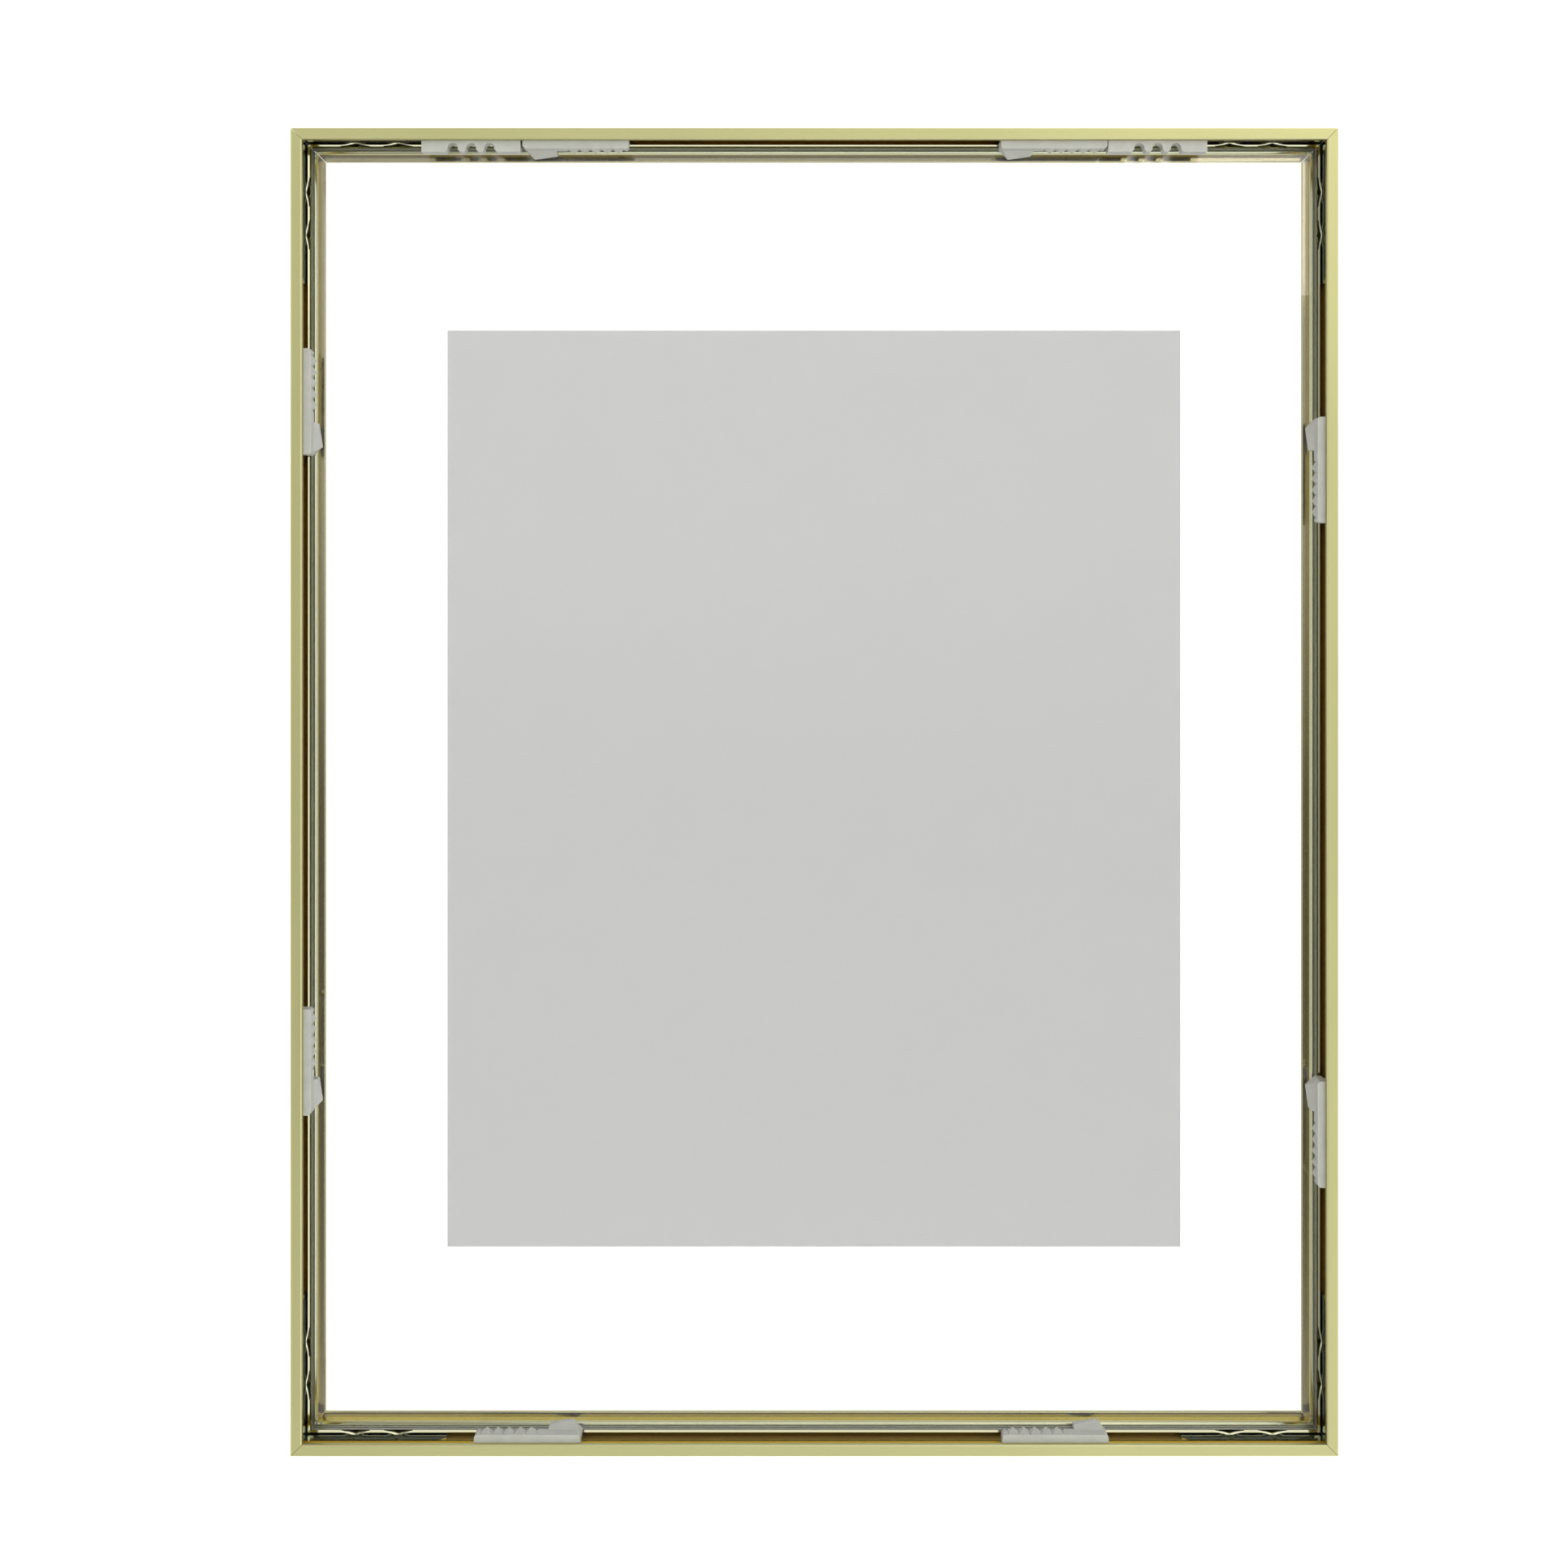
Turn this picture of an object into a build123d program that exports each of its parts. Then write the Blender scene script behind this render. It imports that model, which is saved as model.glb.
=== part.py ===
from build123d import *
import math
import os

os.makedirs("parts", exist_ok=True)

# A floating picture frame: four mitred aluminium rails, two glass panes with a print between them,
# corner keys, eight sliding retaining clips and two sliding hangers.
#
# Frame of reference: the art faces -Y, the wall is at +Y, +Z is up and +X is to the right of
# somebody who looks at the art. The origin is the centre of the frame.
#
# Each side is modelled lying along its own axes: x runs along the rail, y is the distance inward
# from the rail's outer face, and z points at the wall. Depths are measured from the back rim.

# ---- Driving dimensions, mm ----
WIDTH = 285.6
HEIGHT = 362.0
DEPTH = 18.0

# Rail section
WALL = 1.2
FLANGE_REACH = 3.2
FLANGE_THICK = 1.4
GUIDE_REACH = 2.0
GUIDE_TOP = 5.7
GUIDE_THICK = 0.6
LIP_REACH = 6.3
LIP_THICK = 1.2
LIP_FALL = 0.07
RIB_FACE = 2.45
RIB_THICK = 0.65
RIB_TOP = 10.35
RIB_EDGE = 0.1
RIB_FALL = 0.22
SEAT_REACH = 4.9
SEAT_TOP = 13.4
OUTER_ROUND = 0.35
FLANGE_ROUND = 0.4
LIP_ROUND = 0.3
SEAT_ROUND = 0.8
MITRE_GAP = 0.1

# Crimps that lock the rib into the corner keys, as distances from the outer corner
CRIMPS = (15.6, 27.5)
CRIMP_HALF = 4.0
CRIMP_DIP = 1.15

# Corner keys
KEY_LEG = 40.0
KEY_THICK = 0.8
KEY_TOP = 6.45
WINDOW_WIDTH = 5.8
WINDOW_TOP = 10.0
WINDOW_BOTTOM = 13.7
KEY_NOTCH_HALF = 1.3
KEY_NOTCH_DEEP = 1.1
KEY_CHAMFER = 1.6
FIT = 0.05

# Glass and print
GLASS_WIDTH = 278.2
GLASS_HEIGHT = 354.6
GLASS_THICK = 2.0
GLASS_SEAM = 0.2
PRINT_WIDTH = 203.2
PRINT_HEIGHT = 254.0
PRINT_THICK = 0.25
STACK_GAP = 0.03

# Parts that slide in the channel under the flange
SLIDER_FACE = 1.35
SLIDER_TOP = FLANGE_THICK + FIT
SLIDER_BOTTOM = GUIDE_TOP - 2 * FIT

# Retaining clips
CLIP_LENGTH = 29.0
CLIP_REACH = 5.3
CLIP_ROUND = 1.0
CLIP_BACK_ROUND = 0.4
TOOTH_PITCH = 3.05
TOOTH_COUNT = 5
TOOTH_FIRST = 3.1
TOOTH_TIP = 5.95
TOOTH_ROOT = 5.0
FOOT_START = 20.0
FOOT_PEAK = 26.5
FOOT_BACK = 2.7
FOOT_REACH_START = 6.1
FOOT_REACH = 7.0
FOOT_TOP = 4.8
FOOT_TIP = 8.2
FOOT_CORNER = 0.5

# Hangers
HANGER_LENGTH = 27.0
HANGER_REACH = 6.25
HANGER_OFFSET = 93.8
NOTCH_PITCH = 5.0
NOTCH_COUNT = 3
NOTCH_RADIUS = 1.4
NOTCH_CENTRE = 5.15
NOTCH_MOUTH = 3.9
NOTCH_FLARE = 0.6

# Turn about Y that carries the bottom side onto each side, and where its clips' plain ends sit
SIDES = {
    "bottom": (0, WIDTH, HEIGHT, (-93.0, 51.4)),
    "left": (90, HEIGHT, WIDTH, (-108.2, 73.4)),
    "top": (180, WIDTH, HEIGHT, (-80.05, 50.7)),
    "right": (270, HEIGHT, WIDTH, (-121.1, 59.5)),
}

# Depths that follow from the stack that rests on the seat
FRONT_GLASS_TOP = SEAT_TOP - FIT - GLASS_THICK
PRINT_TOP = FRONT_GLASS_TOP - STACK_GAP - PRINT_THICK
BACK_GLASS_TOP = PRINT_TOP - STACK_GAP - GLASS_THICK
FOOT_BOTTOM = BACK_GLASS_TOP - FIT
LIP_TOP = DEPTH - LIP_THICK

CORNER = (Align.MIN, Align.MIN)


def level(depth):
    """Height on the local z axis of a depth below the back rim."""
    return DEPTH / 2 - depth


def on_side(turn, across):
    """Place of a side's own axes in the whole frame."""
    bottom = Plane(origin=(0, 0, -across / 2), x_dir=(-1, 0, 0), z_dir=(0, 1, 0))
    return Rot(0, turn, 0) * bottom.location


def block(along, inward, depth):
    """Box between a low and a high value along the rail, inward and in depth."""
    size = (along[1] - along[0], inward[1] - inward[0], depth[1] - depth[0])
    return Pos(along[0], inward[0], level(depth[1])) * Box(*size, align=CORNER + (Align.MIN,))


def bar(inward, depth):
    """Rectangle of the rail's section."""
    size = (inward[1] - inward[0], depth[1] - depth[0])
    return Pos(inward[0], level(depth[1])) * Rectangle(*size, align=CORNER)


def prism(sketch, low, high):
    """Extrude a sketch of the local xy plane between two depths."""
    return Pos(0, 0, level(high)) * extrude(sketch, high - low, dir=(0, 0, 1))


def run_along(section, start, stop):
    """Extrude a section (inward, height) along the rail."""
    return Pos(start, 0, 0) * extrude(Plane.YZ * section, stop - start, dir=(1, 0, 0))


def round_corner(sketch, inward, depth, radius):
    """Round the section's corner at this place."""
    place = Vector(inward, level(depth), 0)
    corner = min(sketch.vertices(), key=lambda vertex: (vertex.center() - place).length)
    return fillet(corner, radius)


def sloped_bar(inward, depth, edge, fall):
    """Bar whose back face is level up to the edge and then falls away towards the glass."""
    return Polygon(
        (inward[0], level(depth[1])), (inward[0], level(depth[0])), (edge, level(depth[0])),
        (inward[1], level(depth[0] + fall)), (inward[1], level(depth[1])),
        align=None,
    )


def rail_section():
    """Outer wall, back flange, slider guide, front lip, glass seat and crimping rib."""
    section = bar((0, WALL), (0, DEPTH))
    section += bar((0, FLANGE_REACH), (0, FLANGE_THICK))
    section += bar((0, GUIDE_REACH), (GUIDE_TOP, GUIDE_TOP + GUIDE_THICK))
    section += sloped_bar((0, LIP_REACH), (LIP_TOP, DEPTH), SEAT_REACH, LIP_FALL)
    section += bar((RIB_FACE, SEAT_REACH), (SEAT_TOP, DEPTH))
    section += sloped_bar(
        (RIB_FACE, RIB_FACE + RIB_THICK), (RIB_TOP, DEPTH), RIB_FACE + RIB_EDGE, RIB_FALL)
    section = round_corner(section, 0, 0, OUTER_ROUND)
    section = round_corner(section, 0, DEPTH, OUTER_ROUND)
    section = round_corner(section, FLANGE_REACH, 0, FLANGE_ROUND)
    section = round_corner(section, LIP_REACH, DEPTH, LIP_ROUND)
    section = round_corner(section, LIP_REACH, LIP_TOP + LIP_FALL, LIP_ROUND)
    section = round_corner(section, SEAT_REACH, SEAT_TOP, SEAT_ROUND)
    return section


def crimp_outline(depth, dip, thick):
    """Outline of a crimped stretch of rib at this depth: its middle dips towards the wall."""
    faces = (RIB_FACE, RIB_FACE + thick)
    edges = []
    for side in (-1, 1):
        end = side * CRIMP_HALF
        for face in faces:
            start, middle = (end, face), (0, face - dip)
            edges.append(TangentArc(start, middle, tangent=(-side, 0)) if dip else Line(start, middle))
        edges.append(Line((end, faces[0]), (end, faces[1])))
    return Pos(0, 0, level(depth)) * Wire([piece.edge() for piece in edges])


def crimp():
    """Stretch of rib pushed towards the wall at its free edge, centred on x = 0."""
    foot = crimp_outline(SEAT_TOP, 0, RIB_THICK)
    shoulder = crimp_outline(RIB_TOP + RIB_FALL, CRIMP_DIP, RIB_THICK)
    edge = crimp_outline(RIB_TOP, CRIMP_DIP, RIB_EDGE)
    return Solid.make_loft([foot, shoulder, edge], ruled=True)


def make_rail(length):
    """Extruded rail with its crimps, cut to 45 degree mitres."""
    rail = run_along(rail_section(), -length / 2, length / 2)
    rib_inward = (RIB_FACE, RIB_FACE + RIB_THICK)
    for distance in CRIMPS:
        for centre in (distance - length / 2, length / 2 - distance):
            span = (centre - CRIMP_HALF, centre + CRIMP_HALF)
            rail -= block(span, rib_inward, (RIB_TOP, SEAT_TOP))
            rail += Pos(centre, 0, 0) * crimp()
    half = length / 2 - MITRE_GAP / math.sqrt(2)
    reach = LIP_REACH + 1
    outline = Polygon((-half, 0), (half, 0), (half - reach, reach), (reach - half, reach), align=None)
    return rail & prism(outline, 0, DEPTH)


def through_key(sketch):
    """Cutter through the thickness of the key's leg that lies along -x."""
    return extrude(Plane.XZ * sketch, WALL + FIT + 2 * KEY_THICK, dir=(0, 1, 0))


def make_corner_key():
    """Bent steel strip for the corner at the origin: one leg along -x, the other along +y."""
    outer = WALL + FIT
    inner = outer + KEY_THICK
    end = outer + KEY_LEG
    outline = Polygon(
        (-end, outer), (-outer, outer), (-outer, end), (-inner, end), (-inner, inner), (-end, inner),
        align=None,
    )
    key = prism(outline, KEY_TOP, LIP_TOP - FIT)
    cutters = [Pos(-end, 0, level(KEY_TOP)) * through_key(Polygon(
        (0, 0), (KEY_CHAMFER, 0), (0, -KEY_CHAMFER), align=None))]
    notch = through_key(Polygon(
        (-KEY_NOTCH_HALF, 0), (KEY_NOTCH_HALF, 0), (0, -KEY_NOTCH_DEEP), align=None))
    for distance in CRIMPS:
        span = (-distance - WINDOW_WIDTH / 2, WINDOW_WIDTH / 2 - distance)
        cutters.append(block(span, (0, 2 * inner), (WINDOW_TOP, WINDOW_BOTTOM)))
        cutters.append(Pos(-distance, 0, level(KEY_TOP)) * notch)
    other_leg = Plane((0, 0, 0), z_dir=(1, 1, 0))
    for cutter in cutters:
        key -= cutter
        key -= mirror(cutter, about=other_leg)
    bend = key.edges().filter_by(Axis.Z).sort_by_distance((0, 0, 0))[0]
    return fillet(bend, KEY_THICK)


def make_pane():
    """Glass pane with seamed edges, lying in the XZ plane."""
    pane = Box(GLASS_WIDTH, GLASS_THICK, GLASS_HEIGHT)
    return chamfer(pane.edges(), GLASS_SEAM)


def at_depth(depth, part, thick):
    """Move a flat part so that its back face lies at this depth."""
    return Pos(0, level(depth) - thick / 2, 0) * part


def make_clip():
    """Retaining clip: a toothed strip that slides in the channel, with a foot on the glass."""
    depth = (SLIDER_TOP, SLIDER_BOTTOM)
    strip = block((0, CLIP_LENGTH), (SLIDER_FACE, CLIP_REACH), depth)
    uprights = strip.edges().filter_by(Axis.Z).sort_by(Axis.Y)
    strip = fillet(uprights[-2:], CLIP_ROUND)
    uprights = strip.edges().filter_by(Axis.Z).sort_by(Axis.Y)
    strip = fillet(uprights[:2], CLIP_BACK_ROUND)
    return strip + foot() + teeth() - tooth_gaps()


def teeth():
    """Ramp on the strip's inner face that the tooth gaps divide."""
    start = TOOTH_FIRST - TOOTH_PITCH / 2
    stop = start + TOOTH_COUNT * TOOTH_PITCH
    ramp = Polygon(
        (CLIP_REACH - 1, level(SLIDER_TOP)), (CLIP_REACH, level(SLIDER_TOP)),
        (TOOTH_TIP, level(SLIDER_BOTTOM)), (CLIP_REACH - 1, level(SLIDER_BOTTOM)),
        align=None,
    )
    return run_along(ramp, start, stop)


def tooth_gaps():
    """V grooves that start at the strip's back face and deepen towards the glass."""
    deep = TOOTH_TIP - TOOTH_ROOT
    half = TOOTH_PITCH / 2
    fall = SLIDER_BOTTOM - SLIDER_TOP
    run = Vector(0, TOOTH_ROOT - CLIP_REACH, -fall)
    far = CLIP_REACH + 2 * deep
    wedge = Polygon((0, CLIP_REACH), (2 * half, far), (-2 * half, far), align=None)
    groove = extrude(Pos(0, 0, level(SLIDER_TOP)) * wedge, run.length, dir=run)
    first = TOOTH_FIRST - half
    places = [Pos(first + step * TOOTH_PITCH, 0, 0) for step in range(TOOTH_COUNT + 1)]
    return [place * groove for place in places]


def foot():
    """Foot that reaches from the strip down to the glass, with a slanted tip and a bevelled end."""
    profile = Polygon(
        (FOOT_BACK, level(FOOT_TOP)), (CLIP_REACH, level(FOOT_TOP)), (FOOT_REACH, level(FOOT_TIP)),
        (FOOT_REACH, level(FOOT_BOTTOM)), (FOOT_BACK, level(FOOT_BOTTOM)),
        align=None,
    )
    body = run_along(profile, FOOT_START, CLIP_LENGTH)
    outline = Polygon(
        (FOOT_START, FOOT_BACK), (CLIP_LENGTH, FOOT_BACK), (CLIP_LENGTH, CLIP_REACH - CLIP_ROUND),
        (FOOT_PEAK, FOOT_REACH), (FOOT_START, FOOT_REACH_START),
        align=None,
    )
    corners = outline.vertices().sort_by(Axis.Y)[-2:]
    outline = fillet(corners, FOOT_CORNER)
    return body & prism(outline, 0, DEPTH)


def make_hanger():
    """Hanger with a row of notches that open downward, centred on x = 0."""
    outline = Pos(0, SLIDER_FACE) * Rectangle(
        HANGER_LENGTH, HANGER_REACH - SLIDER_FACE, align=(Align.CENTER, Align.MIN)
    )
    half = NOTCH_RADIUS
    mouth = NOTCH_MOUTH / 2
    for step in range(NOTCH_COUNT):
        centre = (step - (NOTCH_COUNT - 1) / 2) * NOTCH_PITCH
        arch = Circle(NOTCH_RADIUS)
        throat = Polygon(
            (-half, 0), (-half, NOTCH_FLARE / 2), (-mouth, HANGER_REACH - NOTCH_CENTRE),
            (mouth, HANGER_REACH - NOTCH_CENTRE), (half, NOTCH_FLARE / 2), (half, 0),
            align=None,
        )
        outline -= Pos(centre, NOTCH_CENTRE) * (arch + throat)
    edge = outline.vertices().group_by(Axis.Y)[-1]
    mouth_corners = edge.filter_by(lambda vertex: abs(vertex.X) < HANGER_LENGTH / 3)
    outline = fillet(mouth_corners, NOTCH_FLARE / 2)
    return prism(outline, SLIDER_TOP, SLIDER_BOTTOM)


def build():
    """Every node of the frame, by name."""
    nodes = {}
    key_names = {
        "bottom": "bottom_left", "left": "top_left", "top": "top_right", "right": "bottom_right",
    }
    clip_names = {
        "bottom": ("bottom_right", "bottom_left"),
        "left": ("left_lower", "left_upper"),
        "top": ("top_left", "top_right"),
        "right": ("right_upper", "right_lower"),
    }
    corner_key = make_corner_key()
    clip = make_clip()
    for side, (turn, length, across, clip_starts) in SIDES.items():
        place = on_side(turn, across)
        nodes["rail_" + side] = place * make_rail(length)
        nodes["corner_key_" + key_names[side]] = place * Pos(length / 2, 0, 0) * corner_key
        for name, start in zip(clip_names[side], clip_starts):
            nodes["clip_" + name] = place * Pos(start, 0, 0) * clip
    turn, length, across, _ = SIDES["top"]
    for name, centre in (("left", -HANGER_OFFSET), ("right", HANGER_OFFSET)):
        nodes["hanger_" + name] = on_side(turn, across) * Pos(centre, 0, 0) * make_hanger()
    pane = make_pane()
    nodes["front_glass"] = at_depth(FRONT_GLASS_TOP, pane, GLASS_THICK)
    nodes["back_glass"] = at_depth(BACK_GLASS_TOP, pane, GLASS_THICK)
    art = Box(PRINT_WIDTH, PRINT_THICK, PRINT_HEIGHT)
    nodes["art_print"] = at_depth(PRINT_TOP, art, PRINT_THICK)
    return nodes


for node, shape in build().items():
    export_step(shape, f"parts/{node}.step")
    box = shape.bounding_box()
    print(f"{node}: {len(shape.solids())} solid, {shape.volume:.1f} mm3, size {box.size}")
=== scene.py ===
import math

import bpy
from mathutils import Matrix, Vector


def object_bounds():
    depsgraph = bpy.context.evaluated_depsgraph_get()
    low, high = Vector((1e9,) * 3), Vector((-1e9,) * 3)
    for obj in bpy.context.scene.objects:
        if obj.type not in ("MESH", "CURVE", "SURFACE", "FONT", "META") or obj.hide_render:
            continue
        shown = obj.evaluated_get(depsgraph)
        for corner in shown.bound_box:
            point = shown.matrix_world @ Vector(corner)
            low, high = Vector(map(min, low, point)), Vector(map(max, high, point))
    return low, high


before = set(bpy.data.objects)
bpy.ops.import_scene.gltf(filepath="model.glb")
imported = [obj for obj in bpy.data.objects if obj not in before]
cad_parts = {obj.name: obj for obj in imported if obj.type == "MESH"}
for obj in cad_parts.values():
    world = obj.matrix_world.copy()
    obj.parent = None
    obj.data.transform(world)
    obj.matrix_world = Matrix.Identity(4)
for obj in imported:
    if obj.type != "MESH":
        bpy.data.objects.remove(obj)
cad_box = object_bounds()

MM = 0.001
LOW, HIGH = (Vector(corner) for corner in cad_box)
CENTRE = (LOW + HIGH) / 2
SIZE = HIGH - LOW

# ---- Camera: level, on the wall's side, with its lens above the frame's centre ----
IMAGE_SPAN = 1.4954 * SIZE.x          # width of the back rim's plane that the picture takes in
CAMERA_DISTANCE = 1.598 * SIZE.z      # from the back rim's plane
LENS_DROP = 0.124                     # how far the picture's window lies below the lens, in widths
CENTRE_SIDE = 0.0194                  # how far the frame's centre is to the right of the picture's
CENTRE_DROP = 0.0052                  # and how far below it


def add_camera():
    """Level camera that looks along -Y at the back of the frame."""
    data = bpy.data.cameras.new("camera")
    data.sensor_width = 36.0
    data.lens = data.sensor_width * CAMERA_DISTANCE / IMAGE_SPAN
    data.shift_y = -LENS_DROP
    data.dof.use_dof = False
    data.clip_start = 0.01
    data.clip_end = 50.0
    camera = bpy.data.objects.new("camera", data)
    bpy.context.scene.collection.objects.link(camera)
    across = CENTRE.x + IMAGE_SPAN * CENTRE_SIDE
    up = CENTRE.z + IMAGE_SPAN * (CENTRE_DROP + LENS_DROP)
    camera.location = (across, HIGH.y + CAMERA_DISTANCE, up)
    camera.rotation_euler = (math.radians(90), 0, math.radians(180))
    bpy.context.scene.camera = camera
    return camera


# ---- Node helpers ----
def new_material(name):
    """Material with its node tree and its Principled shader."""
    material = bpy.data.materials.new(name)
    material.use_nodes = True
    tree = material.node_tree
    return material, tree, tree.nodes["Principled BSDF"]


def set_inputs(node, **values):
    """Set sockets by name, with underscores for spaces."""
    for name, value in values.items():
        node.inputs[name.replace("_", " ")].default_value = value


def grey(value):
    return (value, value, value)


def ramp(tree, source, stops):
    """Colour ramp driven by a socket; stops are (position, colour)."""
    node = tree.nodes.new("ShaderNodeValToRGB")
    elements = node.color_ramp.elements
    while len(elements) < len(stops):
        elements.new(0.5)
    for element, (position, colour) in zip(elements, stops):
        element.position = position
        element.color = (*colour, 1)
    tree.links.new(source, node.inputs["Fac"])
    return node.outputs["Color"]


def math_node(tree, operation, *sources):
    """Math node; a source is a socket or a number."""
    node = tree.nodes.new("ShaderNodeMath")
    node.operation = operation
    for slot, source in enumerate(sources):
        if isinstance(source, (int, float)):
            node.inputs[slot].default_value = source
        else:
            tree.links.new(source, node.inputs[slot])
    return node.outputs[0]


def mix_colour(tree, factor, first, second):
    node = tree.nodes.new("ShaderNodeMix")
    node.data_type = "RGBA"
    tree.links.new(factor, node.inputs[0])
    tree.links.new(first, node.inputs[6])
    tree.links.new(second, node.inputs[7])
    return node.outputs[2]


def object_place(tree):
    return tree.nodes.new("ShaderNodeTexCoord").outputs["Object"]


def split_axes(tree, vector):
    node = tree.nodes.new("ShaderNodeSeparateXYZ")
    tree.links.new(vector, node.inputs["Vector"])
    return node.outputs


def noise(tree, scale, detail=3.0, roughness=0.5, stretch=(1, 1, 1)):
    """Noise in object space, stretched by a scale on each axis."""
    mapping = tree.nodes.new("ShaderNodeMapping")
    mapping.inputs["Scale"].default_value = stretch
    tree.links.new(object_place(tree), mapping.inputs["Vector"])
    node = tree.nodes.new("ShaderNodeTexNoise")
    set_inputs(node, Scale=scale, Detail=detail, Roughness=roughness)
    tree.links.new(mapping.outputs["Vector"], node.inputs["Vector"])
    return node.outputs["Fac"]


def bump(tree, shader, height, strength, distance):
    node = tree.nodes.new("ShaderNodeBump")
    set_inputs(node, Strength=strength, Distance=distance)
    tree.links.new(height, node.inputs["Height"])
    tree.links.new(node.outputs["Normal"], shader.inputs["Normal"])


# ---- Materials ----
SATIN_DEPTH = 1.45 * MM               # from the back to just past the flange, which is satin too
SATIN_SKIN = 0.5 * MM                 # how far in it goes from the front and the outer faces
WALL_REACH = 1.35 * MM                # from the outer face to just past the wall's inner face
EDGE_REACH = 2.9 * MM                 # and to the flange's rounded edge
LIP_REACH = 6.15 * MM                 # and to the lip's rounded edge
LIP_BACK = 1.15 * MM                  # about the height of the lip's back face above the front
LIP_SKIN = 0.25 * MM                  # how far from that height still counts as that face
PAINTED_HIGHLIGHT_DEPTHS = ((10.25, 10.75), (13.3, 14.1))      # bands of cream painted highlight at the rib's and the seat's edges, in mm from the back

GOLD_TONE = (0.72, 0.695, 0.330)
# cream painted highlight for the bright lines at the rib's and the seat's edges
PAINTED_HIGHLIGHT_TONE = (0.68, 0.665, 0.44)
# ochre painted reflection on the wall's inner face, the colour of gold reflecting gold in the channel
WALL_PAINTED_REFLECTION = (0.80, 0.60, 0.20)
# darker painted shade on the lip's back face under the panes
LIP_PAINTED_SHADE = (0.56, 0.50, 0.29)
# darker painted shade on the inner edges of the flange and the lip, which dims their highlights
EDGE_PAINTED_SHADE = (0.60, 0.58, 0.31)
GOLD_SPECULAR = (0.95, 0.80, 0.50, 1)
TONE_SPREAD = 0.03                    # how far the clouds lighten or darken a tone
PANE_EDGE = (0.12, 0.13, 0.085)
PANE_FACE = (0.985, 0.993, 0.988)


def near_outline(tree, reach):
    """1 within this reach of the frame's outer faces, 0 further in."""
    x, _, z = split_axes(tree, object_place(tree))
    on_side = math_node(tree, "GREATER_THAN", math_node(tree, "ABSOLUTE", x), SIZE.x / 2 - reach)
    on_end = math_node(tree, "GREATER_THAN", math_node(tree, "ABSOLUTE", z), SIZE.z / 2 - reach)
    return math_node(tree, "MAXIMUM", on_side, on_end)


def on_flange(tree):
    """1 on the back flange, 0 elsewhere."""
    height = split_axes(tree, object_place(tree))["Y"]
    return math_node(tree, "GREATER_THAN", height, HIGH.y - SATIN_DEPTH)


def satin_mask(tree):
    """1 on the rails' outside, front and back flange, 0 in the channel and on the lip's back face."""
    height = split_axes(tree, object_place(tree))["Y"]
    on_front = math_node(tree, "LESS_THAN", height, LOW.y + SATIN_SKIN)
    flat = math_node(tree, "MAXIMUM", on_flange(tree), on_front)
    return math_node(tree, "MAXIMUM", flat, near_outline(tree, SATIN_SKIN))


def edge_mask(tree):
    """1 on the inner edges of the flange and the lip, where painted shade dims their highlights."""
    flange_edge = math_node(tree, "GREATER_THAN", on_flange(tree), near_outline(tree, EDGE_REACH))
    lip_edge = math_node(tree, "SUBTRACT", 1.0, near_outline(tree, LIP_REACH))
    return math_node(tree, "MAXIMUM", flange_edge, lip_edge)


def lip_mask(tree):
    """1 on the lip's back face, under the panes, which gets a darker painted shade."""
    height = split_axes(tree, object_place(tree))["Y"]
    offset = math_node(tree, "ABSOLUTE", math_node(tree, "SUBTRACT", height, LOW.y + LIP_BACK))
    at_back = math_node(tree, "LESS_THAN", offset, LIP_SKIN)
    return math_node(tree, "GREATER_THAN", at_back, near_outline(tree, WALL_REACH))


def wall_mask(tree):
    """1 on the inner face of the outer wall, which gets an ochre painted reflection and a rougher finish."""
    return math_node(tree, "GREATER_THAN", near_outline(tree, WALL_REACH), satin_mask(tree))


def painted_highlight_mask(tree):
    """1 at the depths of the rib's and the seat's edges, right across the rail, where a cream painted
    highlight goes.
    """
    height = split_axes(tree, object_place(tree))["Y"]
    bands = []
    for near, far in PAINTED_HIGHLIGHT_DEPTHS:
        middle, half = HIGH.y - (near + far) / 2 * MM, (far - near) / 2 * MM
        offset = math_node(tree, "ABSOLUTE", math_node(tree, "SUBTRACT", height, middle))
        bands.append(math_node(tree, "LESS_THAN", offset, half))
    return math_node(tree, "MAXIMUM", *bands)


def gold_tone(tree, clouds, colour):
    """Colour that varies a little with the clouds."""
    low, high = (tuple(factor * part for part in colour) for factor in (1 - TONE_SPREAD, 1 + TONE_SPREAD))
    return ramp(tree, clouds, [(0.30, low), (0.70, high)])


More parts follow.
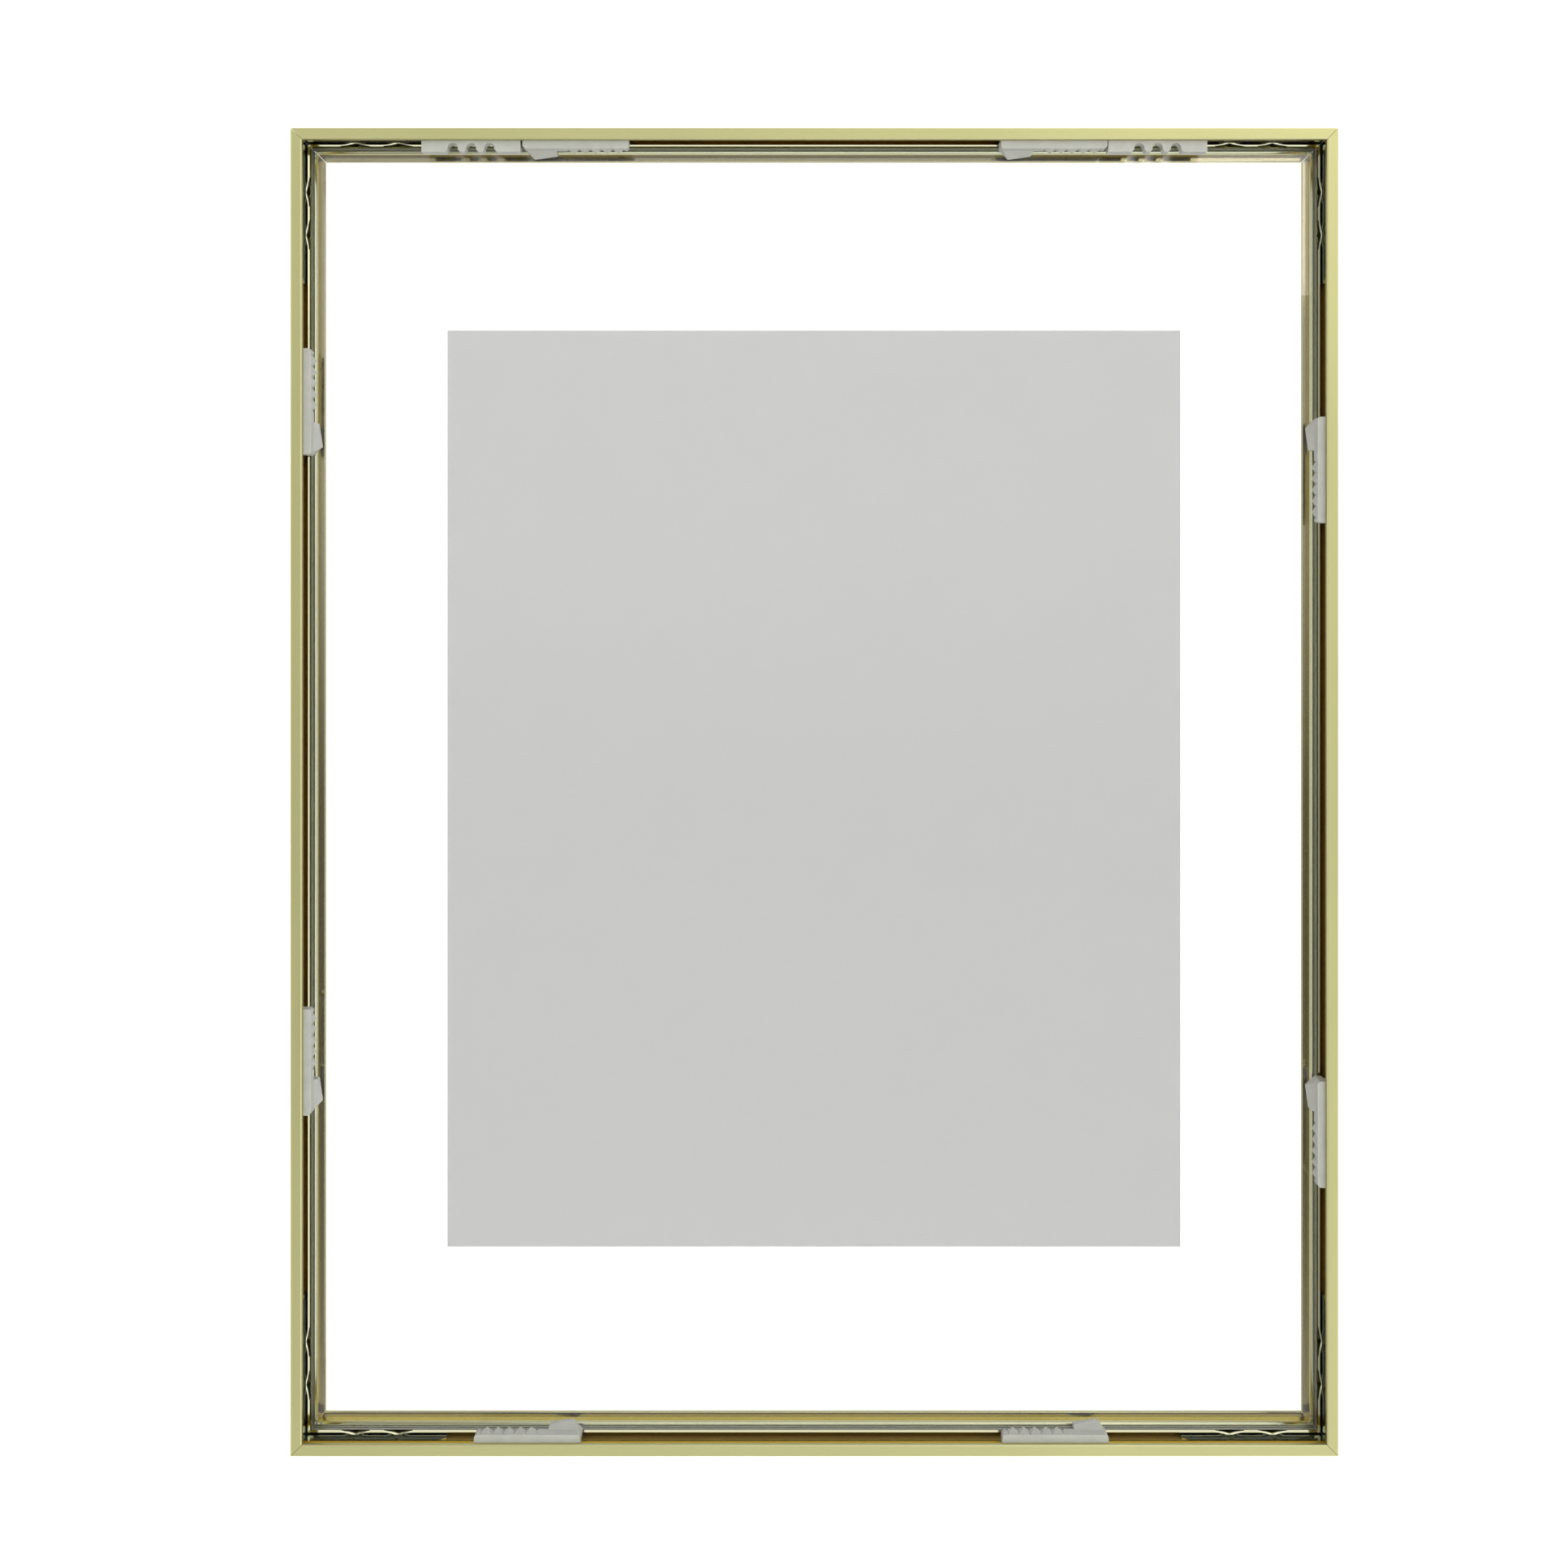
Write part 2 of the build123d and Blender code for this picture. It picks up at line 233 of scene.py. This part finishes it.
def gold_material(name, along):
    """Gold anodised aluminium, satin outside and bright inside, drawn along one axis."""
    material, tree, shader = new_material(name)
    stretch = [1.0, 1.0, 1.0]
    stretch["XYZ".index(along)] = 0.01
    lines = noise(tree, 2600.0, 4.0, 0.6, stretch)
    bands = noise(tree, 700.0, 2.0, 0.5, stretch)
    clouds = noise(tree, 20.0, 3.0)
    colour = gold_tone(tree, clouds, GOLD_TONE)
    # painted highlight: cream bands at the rib's and the seat's edges
    # painted reflection: ochre on the wall's inner face
    # painted shade: darker inner edges of the flange and the lip
    # painted shade: darker lip back face under the panes
    for mask, tone in ((painted_highlight_mask(tree), PAINTED_HIGHLIGHT_TONE), (wall_mask(tree), WALL_PAINTED_REFLECTION),
                       (lip_mask(tree), LIP_PAINTED_SHADE), (edge_mask(tree), EDGE_PAINTED_SHADE)):
        colour = mix_colour(tree, mask, colour, gold_tone(tree, clouds, tone))
    tree.links.new(colour, shader.inputs["Base Color"])
    satin = ramp(tree, bands, [(0.25, grey(0.44)), (0.75, grey(0.50))])
    bright = ramp(tree, lines, [(0.25, grey(0.07)), (0.75, grey(0.13))])
    wall = ramp(tree, lines, [(0.25, grey(0.50)), (0.75, grey(0.60))])
    inside = mix_colour(tree, wall_mask(tree), bright, wall)
    tree.links.new(mix_colour(tree, satin_mask(tree), inside, satin), shader.inputs["Roughness"])
    set_inputs(shader, Metallic=1.0, Specular_Tint=GOLD_SPECULAR)
    bump(tree, shader, lines, 0.06, 0.02 * MM)
    return material


def key_material():
    """Zinc plated steel strip with a faint spangle."""
    material, tree, shader = new_material("key_steel")
    spangle = noise(tree, 500.0, 2.0, 0.6)
    colour = ramp(tree, spangle, [(0.3, (0.50, 0.55, 0.47)), (0.7, (0.58, 0.63, 0.55))])
    tree.links.new(colour, shader.inputs["Base Color"])
    rough = ramp(tree, spangle, [(0.3, grey(0.16)), (0.7, grey(0.24))])
    tree.links.new(rough, shader.inputs["Roughness"])
    set_inputs(shader, Metallic=1.0)
    bump(tree, shader, spangle, 0.03, 0.02 * MM)
    return material


def glass_material():
    """Clear float glass with greenish, ground edges."""
    material, tree, shader = new_material("clear_glass")
    facing = split_axes(tree, tree.nodes.new("ShaderNodeNewGeometry").outputs["Normal"])["Y"]
    flat = math_node(tree, "ABSOLUTE", facing)
    grain = noise(tree, 1800.0, 3.0, 0.6)
    edge_rough = ramp(tree, grain, [(0.3, grey(0.30)), (0.7, grey(0.45))])
    on_edge = ramp(tree, flat, [(0.80, grey(1.0)), (0.95, grey(0.0))])
    tree.links.new(math_node(tree, "MULTIPLY", edge_rough, on_edge), shader.inputs["Roughness"])
    tint = ramp(tree, flat, [(0.80, PANE_EDGE), (0.95, PANE_FACE)])
    tree.links.new(tint, shader.inputs["Base Color"])
    set_inputs(shader, Transmission_Weight=1.0, IOR=1.5, Specular_IOR_Level=0.08)
    return material


def print_material():
    """Plain light grey card with paper fibre."""
    material, tree, shader = new_material("print_paper")
    fibre = noise(tree, 1500.0, 4.0, 0.7)
    colour = ramp(tree, fibre, [(0.2, (0.605, 0.595, 0.580)), (0.8, (0.630, 0.620, 0.605))])
    tree.links.new(colour, shader.inputs["Base Color"])
    rough = ramp(tree, fibre, [(0.2, grey(0.70)), (0.8, grey(0.82))])
    tree.links.new(rough, shader.inputs["Roughness"])
    set_inputs(shader, Specular_IOR_Level=0.3)
    bump(tree, shader, fibre, 0.1, 0.03 * MM)
    return material


def nylon_material():
    """Moulded off-white nylon, a little translucent."""
    material, tree, shader = new_material("white_nylon")
    clouds = noise(tree, 260.0, 3.0, 0.55)
    grain = noise(tree, 3500.0, 2.0)
    colour = ramp(tree, clouds, [(0.25, (0.385, 0.385, 0.335)), (0.75, (0.445, 0.445, 0.390))])
    tree.links.new(colour, shader.inputs["Base Color"])
    rough = ramp(tree, grain, [(0.2, grey(0.36)), (0.8, grey(0.50))])
    tree.links.new(rough, shader.inputs["Roughness"])
    set_inputs(shader, Subsurface_Weight=0.25, Subsurface_Radius=(1.0, 0.9, 0.7), Subsurface_Scale=1.2 * MM)
    bump(tree, shader, grain, 0.08, 0.03 * MM)
    return material


def floor_material():
    """Matt white floor with a glow that brings it near the brightness of the surroundings."""
    material, tree, shader = new_material("floor_paint")
    set_inputs(shader, Base_Color=(0.80, 0.80, 0.80, 1), Roughness=0.9, Specular_IOR_Level=0.1,
               Emission_Color=(1, 1, 1, 1), Emission_Strength=0.62)
    return material


# ---- Finishing of the CAD nodes ----
RAIL_BEVEL = 0.12 * MM
NYLON_BEVEL = 0.22 * MM
WELD_REACH = 0.002 * MM


def set_material(node, material):
    if not node.material_slots:
        node.data.materials.append(material)
    for slot in node.material_slots:
        slot.material = material


def soften_edges(node, width, segments, angle):
    """Round a CAD node's sharp edges with modifiers, which leave its mesh as it is."""
    weld = node.modifiers.new("weld", "WELD")
    weld.merge_threshold = WELD_REACH
    bevel = node.modifiers.new("bevel", "BEVEL")
    bevel.width = width
    bevel.segments = segments
    bevel.limit_method = "ANGLE"
    bevel.angle_limit = math.radians(angle)
    bevel.harden_normals = True


def dress_nodes():
    across, upright = gold_material("gold_across", "X"), gold_material("gold_upright", "Z")
    steel, glass, paper, nylon = key_material(), glass_material(), print_material(), nylon_material()
    for name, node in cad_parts.items():
        if name.startswith("rail"):
            set_material(node, upright if name in ("rail_left", "rail_right") else across)
            soften_edges(node, RAIL_BEVEL, segments=2, angle=40)
        elif name.startswith("corner_key"):
            set_material(node, steel)
        elif name.endswith("glass"):
            set_material(node, glass)
        elif name == "art_print":
            set_material(node, paper)
        else:
            set_material(node, nylon)
            soften_edges(node, NYLON_BEVEL, segments=3, angle=30)


# ---- Stage and light ----
SURROUND = 1.35                       # white that the camera sees, straight or through the glass
FRONT = 0.70                          # light from the art's side
AROUND = 1.34                         # light from the sides, above and below, which SIDES shades
BEHIND_GLASS = 1.03                   # added for matt surfaces behind glass, which are too dark without it
FLOOR_RADIUS = 8.0
FLOOR_GAP = 0.02 * MM
ROOM_START, ROOM_FULL = 0.84, 0.93    # how nearly backwards a direction is where the room starts, and is full
ROOM = [                              # brightness of the room behind the lens, by height
    (0.28, grey(1.15)), (0.33, grey(0.30)), (0.375, grey(0.16)), (0.45, grey(0.14)), (0.51, grey(0.50)),
    (0.65, grey(0.70)), (0.70, grey(1.3))]
SIDES = [                             # colour of the surroundings, from the +X side to the -X side
    (0.10, (1.0, 1.01, 1.05)), (0.22, grey(0.30)), (0.32, grey(0.30)), (0.38, (0.95, 0.97, 1.02)),
    (0.75, (0.97, 1.0, 1.08))]
WINDOW_SHIFT = Vector((-0.33, 0.05, 0.32))        # from the lens to the card's middle
WINDOW_SIZE = (0.30, 0.30)
WINDOW_COLOUR = (1.0, 0.97, 0.92)
WINDOW_STRENGTH = 1.65
SOFTBOX_PLACE = (-1.2, 1.0, 0.7)
SOFTBOX_SIZE = (0.9, 1.2)
SOFTBOX_POWER = 6


def add_floor():
    bpy.ops.mesh.primitive_circle_add(vertices=96, radius=FLOOR_RADIUS, fill_type="NGON",
                                      location=(0, 0, LOW.z - FLOOR_GAP))
    floor = bpy.context.object
    floor.name = "floor"
    set_material(floor, floor_material())
    floor.visible_glossy = False
    floor.visible_transmission = False


def aim(thing, place, target):
    thing.location = place
    thing.rotation_mode = "QUATERNION"
    thing.rotation_quaternion = (Vector(target) - Vector(place)).to_track_quat("-Z", "Y")


def add_card(name, place, size, colour, strength):
    """Upright card near the lens that shows only in gloss and through glass."""
    bpy.ops.mesh.primitive_plane_add(size=1.0)
    card = bpy.context.object
    card.name = name
    card.scale = (size[0], size[1], 1)
    card.location = place
    card.rotation_euler = (math.radians(90), 0, 0)
    material, tree, shader = new_material(name)
    tree.nodes.remove(shader)
    glow = tree.nodes.new("ShaderNodeEmission")
    set_inputs(glow, Color=(*colour, 1), Strength=strength)
    tree.links.new(glow.outputs[0], tree.nodes["Material Output"].inputs["Surface"])
    set_material(card, material)
    card.visible_camera = False
    card.visible_diffuse = False
    card.visible_shadow = False


def add_softbox(name, place, size, power):
    data = bpy.data.lights.new(name, "AREA")
    data.shape = "RECTANGLE"
    data.size, data.size_y = size
    data.energy = power
    light = bpy.data.objects.new(name, data)
    aim(light, place, CENTRE)
    light.visible_camera = False
    light.visible_transmission = False
    light.visible_glossy = False
    bpy.context.scene.collection.objects.link(light)


def background(tree, strength, colour=None):
    node = tree.nodes.new("ShaderNodeBackground")
    set_inputs(node, Color=(1, 1, 1, 1), Strength=strength)
    if colour is not None:
        tree.links.new(colour, node.inputs["Color"])
    return node.outputs[0]


def mix_shader(tree, factor, first, second):
    node = tree.nodes.new("ShaderNodeMixShader")
    tree.links.new(factor, node.inputs[0])
    tree.links.new(first, node.inputs[1])
    tree.links.new(second, node.inputs[2])
    return node.outputs[0]


def light_world():
    """Pale surroundings, with a dim patch on the +X side and a dim band of the room below the lens.

    Straight rays, also through the glass, see plain white, and matt surfaces behind glass get extra light.
    """
    world = bpy.data.worlds.new("studio")
    bpy.context.scene.world = world
    world.use_nodes = True
    tree = world.node_tree
    tree.nodes.clear()
    direction = split_axes(tree, tree.nodes.new("ShaderNodeTexCoord").outputs["Generated"])
    height = math_node(tree, "MULTIPLY_ADD", direction["Z"], 0.5, 0.5)
    room = ramp(tree, height, ROOM)
    side = ramp(tree, math_node(tree, "MULTIPLY_ADD", direction["X"], -0.5, 0.5), SIDES)
    front = math_node(tree, "LESS_THAN", direction["Y"], 0.0)
    behind = ramp(tree, direction["Y"], [(ROOM_START, grey(0.0)), (ROOM_FULL, grey(1.0))])
    around = mix_shader(tree, behind, background(tree, AROUND, side), background(tree, 1.0, room))
    lit = mix_shader(tree, front, around, background(tree, FRONT))
    rays = tree.nodes.new("ShaderNodeLightPath").outputs
    through_glass = math_node(tree, "GREATER_THAN", rays["Transmission Depth"], 0.5)
    matt = math_node(tree, "GREATER_THAN", rays["Diffuse Depth"], 0.5)
    boosted = tree.nodes.new("ShaderNodeAddShader")
    tree.links.new(lit, boosted.inputs[0])
    tree.links.new(background(tree, BEHIND_GLASS), boosted.inputs[1])
    lit = mix_shader(tree, math_node(tree, "MULTIPLY", through_glass, matt), lit, boosted.outputs[0])
    bounces = math_node(tree, "ADD", rays["Glossy Depth"], rays["Diffuse Depth"])
    straight = math_node(tree, "LESS_THAN", bounces, 0.5)
    whole = mix_shader(tree, straight, lit, background(tree, SURROUND))
    out = tree.nodes.new("ShaderNodeOutputWorld")
    tree.links.new(whole, out.inputs["Surface"])


def light_stage(camera):
    bpy.context.scene.view_settings.view_transform = "Standard"
    light_world()
    add_floor()
    add_softbox("softbox_right", SOFTBOX_PLACE, SOFTBOX_SIZE, SOFTBOX_POWER)
    add_card("window", camera.location + WINDOW_SHIFT, WINDOW_SIZE, WINDOW_COLOUR, WINDOW_STRENGTH)


main_camera = add_camera()
dress_nodes()
light_stage(main_camera)
